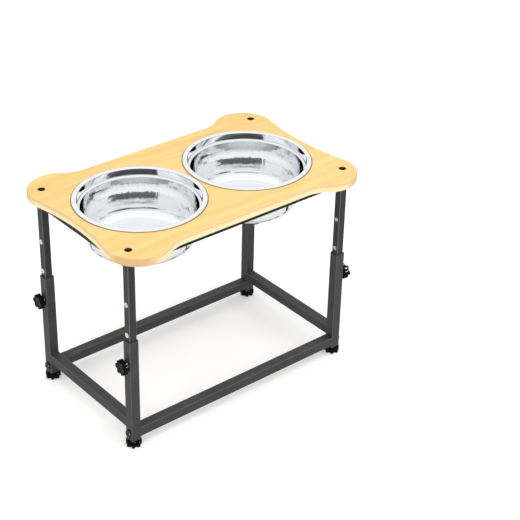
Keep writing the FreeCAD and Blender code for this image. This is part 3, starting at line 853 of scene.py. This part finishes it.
def rounded_square_point(column, width, corner, inset):
    """Where a column of the grid stands on a rounded square that is drawn in by an inset."""
    per_corner = CORNER_STEPS + 1
    quarter = calc("FLOOR", column / per_corner)
    step = column - quarter * per_corner
    angle = (quarter + step / CORNER_STEPS) * QUARTER_TURN
    middle = (quarter + 0.5) * QUARTER_TURN
    reach = width * 0.5 - corner
    return [calc("SIGN", calc(way, middle)) * reach + calc(way, angle) * (corner - inset)
            for way in ("COSINE", "SINE")]


def drilled(mesh, drill, radius):
    """Cut a round hole along X at every point of the drill object."""
    tree = mesh.tree
    spots = made(tree, "GeometryNodeObjectInfo", {"Object": drill}, "Geometry", transform_space="ORIGINAL")
    bit = made(tree, "GeometryNodeMeshCylinder", {"Vertices": 40, "Radius": radius, "Depth": 4 * MM})
    across = made(tree, "FunctionNodeEulerToRotation", {"Euler": (0, QUARTER_TURN, 0)})
    bits = made(tree, "GeometryNodeInstanceOnPoints", {"Points": spots, "Instance": bit, "Rotation": across})
    bits = made(tree, "GeometryNodeRealizeInstances", {"Geometry": bits})
    return made(tree, "GeometryNodeMeshBoolean", {"Mesh 1": mesh, "Mesh 2": bits}, "Mesh", operation="DIFFERENCE",
                solver="EXACT")


def flat_faces_flat(mesh):
    """Smooth shading on rounded faces only, so that the flat faces of a tube stay flat."""
    largest = largest_part(made(mesh.tree, "GeometryNodeInputNormal"))
    rounded = made(mesh.tree, "FunctionNodeCompare", {0: largest, 1: NEARLY_ONE}, operation="LESS_THAN")
    return shade(shade(mesh, False), True, Selection=rounded)


def tube_tree():
    tree, given = geometry_tree("square_tube", {
        "Width": ("Float", 20 * MM), "Corner": ("Float", 1.5 * MM), "Drill": ("Object", None),
        "Hole radius": ("Float", 3.3 * MM), "Finish": ("Material", None)})
    columns = 4 * (CORNER_STEPS + 1)
    grid, turn, _, (inset, _, height) = wrapped_grid(given["Geometry"], columns)
    column = calc("ROUND", turn * (columns / FULL_TURN))
    x, y = rounded_square_point(column, given["Width"], given["Corner"], inset)
    place = made(tree, "GeometryNodeInputPosition")
    inputs = {"Geometry": closed(grid, x, y, height), "Name": "drawn", "Value": place}
    marked = made(tree, "GeometryNodeStoreNamedAttribute", inputs, data_type="FLOAT_VECTOR", domain="POINT")
    cut = drilled(marked, given["Drill"], given["Hole radius"])
    return end_tree(tree, flat_faces_flat(cut), given["Finish"])


TUBE = tube_tree()

# %% [markdown]
# ## The frame's tubes
# The lower frame is 20 mm tube, with the feet in its leg ends and the long rails bolted between the legs. The upper
# frame is 16 mm tube that slides inside it, in a darker coat, and two thin tubes stiffen the board; the upper
# frame's darker and black coats are partly painted shade from the board above. A length of tube is made upright,
# then turned along the feeder or across it.

# %% Cut the legs
OUTER, INNER, THIN = (20, 1.5), (16, 2), (15, 1.5)
WALL = 1.2
SAW_CHAMFER = 0.25
BOLT_HOLE, SLEEVE_HOLE = 3.3, 4.05
HEIGHTS, FIRST_STEP, STEP_RISE = 3, 14, 64
OUTER_BASE, OUTER_TOP = (end.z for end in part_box("outer_leg_front_left"))
INNER_BASE, INNER_TOP = (end.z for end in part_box("inner_leg_front_left"))
BOLT_HEIGHT = middle_of("rail_bolts").z


def tube(length, size, finish, holes=(), hole_radius=BOLT_HOLE):
    """A square tube of a width and corner radius that stands on its own origin, all in millimetres."""
    width, corner = size
    wall = section([(WALL, 0), (SAW_CHAMFER, 0), (0, SAW_CHAMFER), (0, length - SAW_CHAMFER),
                    (SAW_CHAMFER, length), (WALL, length), (WALL, 0)])
    drill = new_object("drill", new_mesh("holes", [Vector(hole) * MM for hole in holes]))
    mesh = grow(TUBE, wall, Width=width * MM, Corner=corner * MM, Drill=drill, Hole_radius=hole_radius * MM,
                Finish=finish)
    bpy.data.objects.remove(drill)
    return mesh


def mid_wall(size):
    """How far the middle of a tube's wall is from its axis."""
    return (size[0] - WALL) / 2


def leg(kind, corner, base, top, size, finish, body, holes, hole_radius):
    sx, sy = CORNERS[corner]
    mesh = tube((top - base) / MM, size, finish, holes, hole_radius)
    settle(f"{kind}_tube_{corner}", mesh, body, [f"{kind}_leg_{corner}"],
           at(sx * LEG_X, sy * LEG_Y, base))


for corner, (sx, sy) in CORNERS.items():
    out, bolts, knob = mid_wall(OUTER), (BOLT_HEIGHT - OUTER_BASE) / MM, (KNOB_HEIGHT - OUTER_BASE) / MM
    holes = [(out, 0, bolts), (-out, 0, bolts), (out * sx, 0, knob)]
    leg("outer", corner, OUTER_BASE, OUTER_TOP, OUTER, PAINT, "lower_frame", holes, BOLT_HOLE)
    out = mid_wall(INNER)
    holes = [(x, 0, FIRST_STEP + STEP_RISE * step) for step in range(HEIGHTS) for x in (-out, out)]
    leg("inner", corner, INNER_BASE, INNER_TOP, INNER, SHADE_PAINT, "upper_frame", holes, SLEEVE_HOLE)

# %% Rails of both frames
ALONG = Matrix.Rotation(QUARTER_TURN, 4, "Y")
ACROSS = Matrix.Rotation(-QUARTER_TURN, 4, "X")
# the upper frame's rails take the black coat, which is partly painted shade under the board
RAIL_PAINT = {"lower_frame": PAINT, "upper_frame": BLACK_COAT_AND_SHADE}


def rail(name, node, size, body, turn):
    """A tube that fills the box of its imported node, turned along its length."""
    low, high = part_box(node)
    axis = turn @ Vector((0, 0, 1))
    length = abs((high - low).dot(axis))
    start = (low + high) / 2 - axis * length / 2
    settle(name, tube(length / MM, size, RAIL_PAINT[body]), body, [node], at(*start) @ turn)


for side in SIDES:
    rail(f"end_tube_{side}", f"side_rail_{side}", OUTER, "lower_frame", ACROSS)
    rail(f"top_end_tube_{side}", f"top_side_rail_{side}", INNER, "upper_frame", ACROSS)
for face in FACES:
    rail(f"long_tube_{face}", f"long_rail_{face}", OUTER, "lower_frame", ALONG)
    rail(f"thin_tube_{face}", f"top_long_rail_{face}", THIN, "upper_frame", ALONG)

# %% [markdown]
# ## Weld beads
# Where a side rail meets its legs the joint is welded all round and then painted over. A bead is a curve with a
# round section that swells and shrinks as the puddle advanced, so a tree turns each line of a base mesh into one.

# %% Weld beads
BEAD_STEP = 0.45 * MM
BEAD_EDGE = math.radians(60)


def bead_tree():
    tree, given = geometry_tree("weld_bead", {"Radius": ("Float", 0.9 * MM), "Ripple": ("Float", 0.35),
                                              "Finish": ("Material", None)})
    lines = made(tree, "GeometryNodeMeshToCurve", {"Mesh": given["Geometry"]})
    lines = made(tree, "GeometryNodeResampleCurve", {"Curve": lines, "Length": BEAD_STEP}, mode="LENGTH")
    puddle = noise(made(tree, "GeometryNodeInputPosition"), 620.0, 1.0)
    along = made(tree, "GeometryNodeSplineParameter", output="Factor")
    taper = calc("POWER", calc("SINE", along * math.pi), 0.25)
    size = taper * ((puddle - 0.5) * given["Ripple"] + 0.9)
    circle = made(tree, "GeometryNodeCurvePrimitiveCircle", {"Resolution": 12, "Radius": given["Radius"]})
    bead = made(tree, "GeometryNodeCurveToMesh", {"Curve": lines, "Profile Curve": circle, "Scale": size,
                                                  "Fill Caps": True})
    return end_tree(tree, smoothed(bead, BEAD_EDGE), given["Finish"])


BEAD = bead_tree()


def bead_lines(node, half, both_edges):
    """The ends of lines across both ends of a side rail, at its lower edge or at both edges."""
    low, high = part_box(node)
    x = (low.x + high.x) / 2
    heights = (low.z, high.z) if both_edges else (low.z,)
    return [(x + side * half, y, z) for y in (low.y, high.y) for z in heights for side in (-1, 1)]


for body, kind, half, both_edges in (("lower_frame", "side_rail", 8.4 * MM, True),
                                     ("upper_frame", "top_side_rail", 6.2 * MM, False)):
    points = [point for side in SIDES for point in bead_lines(f"{kind}_{side}", half, both_edges)]
    lines = new_mesh("weld_lines", points, [(start, start + 1) for start in range(0, len(points), 2)])
    settle(f"{kind}_welds", grow(BEAD, lines, Finish=RAIL_PAINT[body]), body)

# %% [markdown]
# ## Star knobs and star feet
# A star grip is a disc with round notches, so that fingers get hold of it. The tree is the lathe again, with one
# more rule: a row marked `star` has its radius cut back by the notches. How far follows from the circle of a notch,
# and a smooth minimum rounds the tips of the lobes as a mould would.

# %% The star tree
TIP_ROUND = 1.8 * MM
PAST_NOTCH = 4.0


def star_tree():
    tree, given = geometry_tree("star_grip", {
        "Segments": ("Int", 240), "Lobes": ("Float", 6.0), "Outer radius": ("Float", 15 * MM),
        "Notch radius": ("Float", 4.6 * MM), "Notch reach": ("Float", 15.9 * MM), "Finish": ("Material", None)})
    outline, outer, notch, centre = (given[name] for name in ("Geometry", "Outer radius", "Notch radius",
                                                              "Notch reach"))
    grid, turn, row, (reach, _, height) = wrapped_grid(outline, given["Segments"])
    half = math.pi / given["Lobes"]
    swing = calc("WRAP", turn + half, half * 2.0, 0.0) - half
    across = abs(centre * calc("SINE", swing))
    ahead = centre * calc("COSINE", swing)
    inside = calc("POWER", notch, 2.0) - calc("POWER", across, 2.0)
    chord = calc("SQRT", calc("MAXIMUM", inside, 0.0))
    past = calc("MAXIMUM", across - notch, 0.0) * PAST_NOTCH
    star = calc("SMOOTH_MIN", outer, ahead - chord + past, TIP_ROUND)
    cut = (outer - star) * sampled(outline, row, attribute(tree, "star"))
    return end_tree(tree, turned(grid, reach - cut, turn, height), given["Finish"])


STAR = star_tree()

# %% Knob heads and feet
STAR_ROUND = 15.0
STAR_EDGE = 1.2
KNOB_START = 14.5


def star_rim(top):
    """Rows of (radius, height, star) up the outside of a star, with both edges rounded."""
    rows = [(STAR_ROUND - inset, rise) for inset, rise, _ in quarter_round(STAR_EDGE, 5)]
    return [(radius, rise, 1) for radius, rise in rows] + [(radius, top - rise, 1) for radius, rise in rows[::-1]]


def star_piece(rows, lobes, segments):
    outline = section([row[:2] for row in rows], star=[row[2] for row in rows])
    return grow(STAR, outline, Segments=segments, Lobes=float(lobes), Finish=KNOB_PLASTIC)


KNOB_ROWS = [(0, 6.05, 0), (3.05, 6.05, 0), (3.05, -1, 0), (5.7, -1, 0), (6, -0.7, 0), (6, -0.15, 0), (6.3, 0, 0),
             (9, 0, 0.2), *star_rim(11.5), (12.4, 11.42, 0.9), (10.6, 11.1, 0.62), (8.8, 10.8, 0.3),
             (7, 10.65, 0.08), (4, 10.6, 0), (0, 10.6, 0)]
FOOT_ROWS = [(0, 0, 0), (9, 0, 0.3), *star_rim(12), (11.5, 12, 0.75), (8, 12, 0.2), (4.6, 12, 0),
             (4.05, 11.5, 0), (4.05, 2.95, 0), (0, 2.95, 0)]
for corner, (sx, sy) in CORNERS.items():
    seat = at(sx * (LEG_X + KNOB_START * MM), sy * LEG_Y, KNOB_HEIGHT) @ outward(sx)
    settle(f"star_knob_{corner}", star_piece(KNOB_ROWS, 6, 240), f"knob_head_{corner}",
           [f"knob_head_{corner}"], seat)
    settle(f"star_foot_{corner}", star_piece(FOOT_ROWS, 7, 252), f"foot_star_{corner}",
           [f"foot_star_{corner}"], at(sx * LEG_X, sy * LEG_Y, 0))

# %% [markdown]
# ## Threaded studs
# The knobs pull against the sleeves through M6 studs, and the feet screw in and out on M8 studs. The lathe cuts
# their threads: four rows for every turn of the thread are enough for a crisp ridge.

# %% Studs
M6_PITCH, M8_PITCH = 1.0, 1.25
M6_DEPTH, M8_DEPTH = 0.3, 0.4


def thread_rows(radius, start, end, pitch=M6_PITCH, sign=1):
    """Rows of (radius, height, thread, hexagon) along a threaded stretch; a nut's thread has a sign of -1."""
    count = max(4, round(abs(end - start) / pitch * 4))
    return [(radius, start + (end - start) * step / count, sign, 0) for step in range(count + 1)]


def turned_piece(rows, finish, pitch=M6_PITCH, depth=M6_DEPTH):
    """A turned piece from rows of (radius, height, thread, hexagon); a short row has neither."""
    rows = [(*row, 0, 0)[:4] for row in rows]
    outline = section([row[:2] for row in rows], thread=[row[2] for row in rows],
                      hexagon=[row[3] for row in rows])
    return grow(LATHE, outline, Segments=48, Thread_pitch=pitch * MM, Thread_depth=depth * MM, Finish=finish)


KNOB_STUD = [(0, 8.9), (2.3, 8.9), (2.9, 9.5), *thread_rows(3, 9.5, 20.2), (2.9, 20.5), (0, 20.5)]
FOOT_STUD = [(0, 3), (3.9, 3), *thread_rows(4, 3.2, 22.2, M8_PITCH), (3.3, 23), (0, 23)]
for corner, (sx, sy) in CORNERS.items():
    axis = at(sx * LEG_X, sy * LEG_Y, KNOB_HEIGHT) @ outward(sx)
    settle(f"knob_thread_{corner}", turned_piece(KNOB_STUD, ZINC_STEEL), f"knob_stud_{corner}",
           [f"knob_stud_{corner}"], axis)
    settle(f"foot_thread_{corner}", turned_piece(FOOT_STUD, ZINC_STEEL, M8_PITCH, M8_DEPTH),
           f"foot_stud_{corner}", [f"foot_stud_{corner}"], at(sx * LEG_X, sy * LEG_Y, 0))

# %% [markdown]
# ## Bolts, screws and sleeves
# These are the same fastener set many times, so each is turned once and a tree sets it on points. Each point says
# with the attribute `facing` which way its fastener looks.

# %% Set a fastener on points


def setter_tree():
    tree, given = geometry_tree("set_on_points", {"Fastener": ("Object", None), "Finish": ("Material", None)})
    shape = made(tree, "GeometryNodeObjectInfo", {"Object": given["Fastener"]}, "Geometry",
                 transform_space="ORIGINAL")
    facing = attribute(tree, "facing", "FLOAT_VECTOR")
    aligned = made(tree, "FunctionNodeAlignRotationToVector", {"Vector": facing}, axis="Z")
    copies = made(tree, "GeometryNodeInstanceOnPoints", {"Points": given["Geometry"], "Rotation": aligned,
                                                         "Instance": shape})
    return end_tree(tree, copies, given["Finish"])


SETTER = setter_tree()


def set_out(mesh, spots, finish):
    """Copies of a fastener at places, each with the direction it faces."""
    fastener = new_object("fastener", mesh)
    points = new_mesh("spots", [place for place, _ in spots])
    facing = points.attributes.new("facing", "FLOAT_VECTOR", "POINT")
    facing.data.foreach_set("vector", [number for _, way in spots for number in way])
    copies = grow(SETTER, points, Fastener=fastener, Finish=finish)
    bpy.data.objects.remove(fastener)
    return copies


# %% Rail bolts, board screws and sleeves
SOCKET = 2.3
SOCKET_DEPTH = 2
SOCKET_LEAD = 0.12
DRILL_POINT = 0.25


def socket_rows(top):
    """A six-sided socket: the edge that leads the key in, the walls and the floor."""
    base = top - SOCKET_DEPTH
    return [(SOCKET + SOCKET_LEAD, top, 0, 1), (SOCKET, top - SOCKET_LEAD, 0, 1), (SOCKET, base, 0, 1),
            (0, base - DRILL_POINT, 0, 0)]


def dome(radius, base, rounding, top, steps=7):
    """Rows of a domed head from its upright side to its flat top."""
    angles = [QUARTER_TURN * step / steps for step in range(steps + 1)]
    return [(radius, base)] + [(radius - rounding * (1 - math.cos(angle)), top - rounding * (1 - math.sin(angle)))
                               for angle in angles]


RAIL_BOLT = [(0, -35), (2.4, -35), (2.9, -34.4), *thread_rows(3, -34.4, -6), (3, -5.8), (3, 0), (7.85, 0),
             *dome(8, 0.15, 3.68, 4.6), *socket_rows(4.6)]
BOARD_SCREW = [(0, -32), (2.4, -32), (2.9, -31.4), *thread_rows(3, -31.4, -3), (3, -2.8), (3, 0), (6.5, 0),
               (6.7, 0.2), (6.7, 2.5), (6.55, 2.85), (6.2, 3), (3.2, 3), *socket_rows(3)]
SLEEVE = [(3.45, -16), (3.85, -16), (4, -15.85), (4, 0), (4.65, 0), (4.8, 0.12), (4.8, 0.34), (4.66, 0.5),
          (3.55, 0.5), (3.15, 0.1), *thread_rows(3.1, 0, -15.6, sign=-1), (3.45, -16)]
HEAD_SEAT = BOARD_TOP - SCREW_SINK_DEPTH * MM
STEP_HEIGHTS = [KNOB_HEIGHT + step * STEP_RISE * MM for step in range(HEIGHTS)]


def side_spots(size, heights):
    """Places on the outer faces of legs of one size, each facing out."""
    return [((sx * LEG_X + sx * size[0] / 2 * MM, sy * LEG_Y, height), (sx, 0, 0))
            for sx, sy in CORNERS.values() for height in heights]


screw_spots = [((sx * LEG_X, sy * LEG_Y, HEAD_SEAT), (0, 0, 1)) for sx, sy in CORNERS.values()]
for name, rows, spots, finish, body, slot, node in (
        ("rail_bolt_set", RAIL_BOLT, side_spots(OUTER, [BOLT_HEIGHT]), BLACK_STEEL, "lower_frame",
         "black_fastener", "rail_bolts"),
        ("board_screw_set", BOARD_SCREW, screw_spots, SCREW_LACQUER, "upper_frame",
         "black_fastener", "board_screws"),
        ("sleeve_set", SLEEVE, side_spots(INNER, STEP_HEIGHTS), YELLOW_ZINC, "upper_frame",
         "yellow_plating", "threaded_sleeves")):
    settle(name, set_out(turned_piece(rows, finish), spots, finish), body, [node])

# %% [markdown]
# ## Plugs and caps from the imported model
# The threaded plugs in the tube ends, the guide caps and the tabs under the board are plain shapes that mostly hide
# inside the tubes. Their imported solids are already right, so they stay, and only get a finish.

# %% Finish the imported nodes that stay
STAYING = {"rail_end_inserts": ZINC_STEEL, "leg_top_inserts": ZINC_STEEL, "leg_guide_caps": GUIDE_PLASTIC,
           "rail_end_tabs": BLACK_COAT_AND_SHADE, "foot_inserts": KNOB_PLASTIC}
for node, finish in STAYING.items():
    for slot in bpy.data.objects[node].material_slots:
        slot.material = finish
    print(node, "is now", finish.name)

# %% [markdown]
# ## Floor, light and camera
# The feeder stands on a plain pale floor in a white studio. A large soft light overhead does most of the work, and
# the surroundings are bright above and greyer near the horizon, because polished steel shows nothing but its
# surroundings: with white on every side it would look like paper. A bowl mirrors itself two or three times before
# the light leaves it, and every reflection costs some light, so the far ceiling is dark from the third reflection on.
# Two more lamps only make highlights on the black pieces, and another fills in the tops of the dark tubes.

# %% Floor
FLOOR_HALF = 6.0
FLOOR_DROP = 0.2 * MM
FLOOR_DARK, FLOOR_LIGHT, FLOOR_MIRRORED = ((tone, tone, tone) for tone in (0.91, 0.93, 0.56))


def pale_floor():
    material, tree, shader = start_finish("pale_studio_floor", Specular_IOR_Level=0.2, Emission_Color=(1, 1, 1, 1),
                                           Emission_Strength=0.22)
    speckle = use_group(tree, SPECKLE, Grains_per_metre=60.0)["Tone"]
    pale = mix_colours(speckle, FLOOR_DARK, FLOOR_LIGHT)
    mirrored = made(tree, "ShaderNodeLightPath", output="Is Glossy Ray")
    feed(shader, Base_Color=mix_colours(mirrored, pale, FLOOR_MIRRORED),
         Roughness=ramp(speckle, 0.0, 1.0, 0.7, 0.8))
    return material


corners = [(x * FLOOR_HALF, y * FLOOR_HALF, -FLOOR_DROP) for x, y in ((-1, -1), (1, -1), (1, 1), (-1, 1))]
floor = new_object("studio_floor", new_mesh("studio_floor", corners, faces=[(0, 1, 2, 3)]))
floor.data.materials.append(pale_floor())
print("floor:", 2 * FLOOR_HALF, "m square")

# %% World
SKY_LIGHT, ROOM_LIGHT = 0.86, 1.1
WHITE = (1, 1, 1, 1)
FAR_SIDE = (0.0, 1.0, 0.0)
FAR_START, FAR_FULL = -0.30, -0.24
FAR_TONES = {0.0: 0.04, 0.20: 0.06, 0.30: 0.45, 0.40: 1.0, 0.545: 1.0, 0.60: 0.05, 0.75: 0.10, 1.0: 0.16}
NEAR_TONES = {0.0: 0.10, 0.20: 0.20, 0.30: 0.55, 0.40: 0.90, 0.80: 1.0}
DEEP_REFLECTION = 3.5  # the world's Ray Depth is one more than the number of reflections


def studio_world():
    world = bpy.data.worlds.new("white_studio")
    world.use_nodes = True
    tree = world.node_tree
    tree.nodes.clear()
    where = made(tree, "ShaderNodeTexCoord", output="Generated")
    height = split(where)[2]
    behind = vector_calc("DOT_PRODUCT", where, FAR_SIDE)
    rays = outputs_of(tree, put(tree, "ShaderNodeLightPath"))
    deep = calc("GREATER_THAN", rays["Ray Depth"], DEEP_REFLECTION)
    shaded = ramp(behind, FAR_START, FAR_FULL) * deep
    mirrored = mix_colours(shaded, tone_ramp(height, NEAR_TONES), tone_ramp(height, FAR_TONES))
    white, soft, room = (made(tree, "ShaderNodeBackground", {"Color": colour, "Strength": strength})
                         for colour, strength in ((WHITE, 1.0), (WHITE, SKY_LIGHT), (mirrored, ROOM_LIGHT)))
    lit = made(tree, "ShaderNodeMixShader", {0: rays["Is Glossy Ray"], 1: soft, 2: room})
    seen = made(tree, "ShaderNodeMixShader", {0: rays["Is Camera Ray"], 1: lit, 2: white})
    put(tree, "ShaderNodeOutputWorld", {"Surface": seen})
    return world


bpy.context.scene.world = studio_world()
bpy.context.scene.view_settings.view_transform = "Standard"
print("world:", bpy.context.scene.world.name)

# %% Lights


def soft_light(name, place, aim, size, watts, mirrored=False, only=()):
    """A square area light, turned towards a point. A mirrored one only makes highlights. One that is only for some
    pieces reaches those whose names start in these ways."""
    data = bpy.data.lights.new(name, "AREA")
    data.shape = "SQUARE"
    data.size = size
    data.energy = watts
    lamp = new_object(name, data)
    lamp.visible_glossy = mirrored
    lamp.visible_diffuse = not mirrored
    way = Vector(aim) - Vector(place)
    lamp.matrix_world = at(*place) @ way.to_track_quat("-Z", "Y").to_matrix().to_4x4()
    if only:
        reached = bpy.data.collections.new(name + "_reach")
        for piece in (piece for piece in bpy.data.objects if piece.name.startswith(only)):
            reached.objects.link(piece)
        lamp.light_linking.receiver_collection = reached
    print("light", name, watts, "W")


soft_light("overhead_softbox", (-0.3, -0.5, 2.6), (0, 0, 0.2), 2.4, 26)
soft_light("left_strip", (-2.4, -0.9, 1.5), (0, 0, 0.25), 0.5, 5)
soft_light("right_strip", (1.4, -2.2, 1.3), (0, 0, 0.3), 0.5, 11)
soft_light("glint_card", (1.6, -1.5, 2.0), (0, 0, 0.2), 0.8, 500, True, ("star_knob", "star_foot"))
soft_light("bolt_glint", (-2.2, -1.2, 0.12), (0, 0, 0.03), 0.8, 90, True, ("rail_bolt_set",))
soft_light("tube_fill", (0, 0, 2.6), (0, 0, 0), 1.6, 22, only=("end_tube", "long_tube", "side_rail_welds"))

# %% [markdown]
# ## Camera
# The camera looks down from the front left with a long lens, so that parallel rails stay almost parallel. Its place
# is given by the direction it looks back along, its distance, and a small slide in its own picture plane.

# %% Camera
AZIMUTH, ELEVATION, ROLL = (math.radians(angle) for angle in (-40.649, 31.112, 1.552))
TARGET = Vector((0, 0, 0.1733))
DISTANCE, SLIDE_RIGHT, SLIDE_UP = 2.7761, 0.12840, 0.06033
LENS, SENSOR = 97.565, 36.0


def photo_camera():
    back = Vector((math.sin(AZIMUTH) * math.cos(ELEVATION), -math.cos(AZIMUTH) * math.cos(ELEVATION),
                   math.sin(ELEVATION)))
    level = (-back).cross(Vector((0, 0, 1))).normalized()
    upright = level.cross(-back)
    right = level * math.cos(ROLL) + upright * math.sin(ROLL)
    up = upright * math.cos(ROLL) - level * math.sin(ROLL)
    place = TARGET + back * DISTANCE + right * SLIDE_RIGHT + up * SLIDE_UP
    data = bpy.data.cameras.new("photo_camera")
    data.lens = LENS
    data.sensor_width = SENSOR
    camera = new_object("photo_camera", data)
    camera.matrix_world = at(*place) @ Matrix((right, up, back)).transposed().to_4x4()
    return camera


bpy.context.scene.camera = photo_camera()
print("camera at", [round(part, 3) for part in bpy.context.scene.camera.matrix_world.translation])
